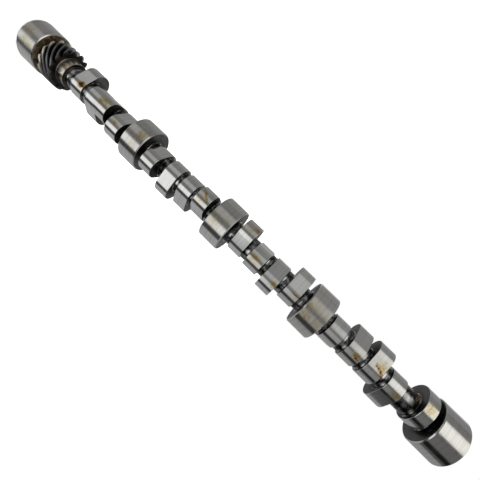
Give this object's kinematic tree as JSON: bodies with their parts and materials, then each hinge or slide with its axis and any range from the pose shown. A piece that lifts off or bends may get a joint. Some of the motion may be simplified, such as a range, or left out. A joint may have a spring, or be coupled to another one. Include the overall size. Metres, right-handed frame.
{
  "type": "camshaft",
  "caption": "One-piece engine camshaft with equal round journals, valve lobes in bays between them, a helical drive gear near the rear end and a round eccentric near the front end.",
  "frame": {"origin": "centre of the rear journal's end face, on which the shaft stands", "axes": "+Z along the shaft's axis from the gear end to the sprocket end, +X away from the eccentric's throw, -Y towards the picture's camera"},
  "size_m": [0.0494, 0.0494, 0.5986],
  "materials": {
    "shaft_steel": "ground bright on journals, lobes and eccentric, dark and oily with brown stains between them"
  },
  "bodies": {
    "root": {"camshaft": "shaft_steel"}
  },
  "joints": []
}
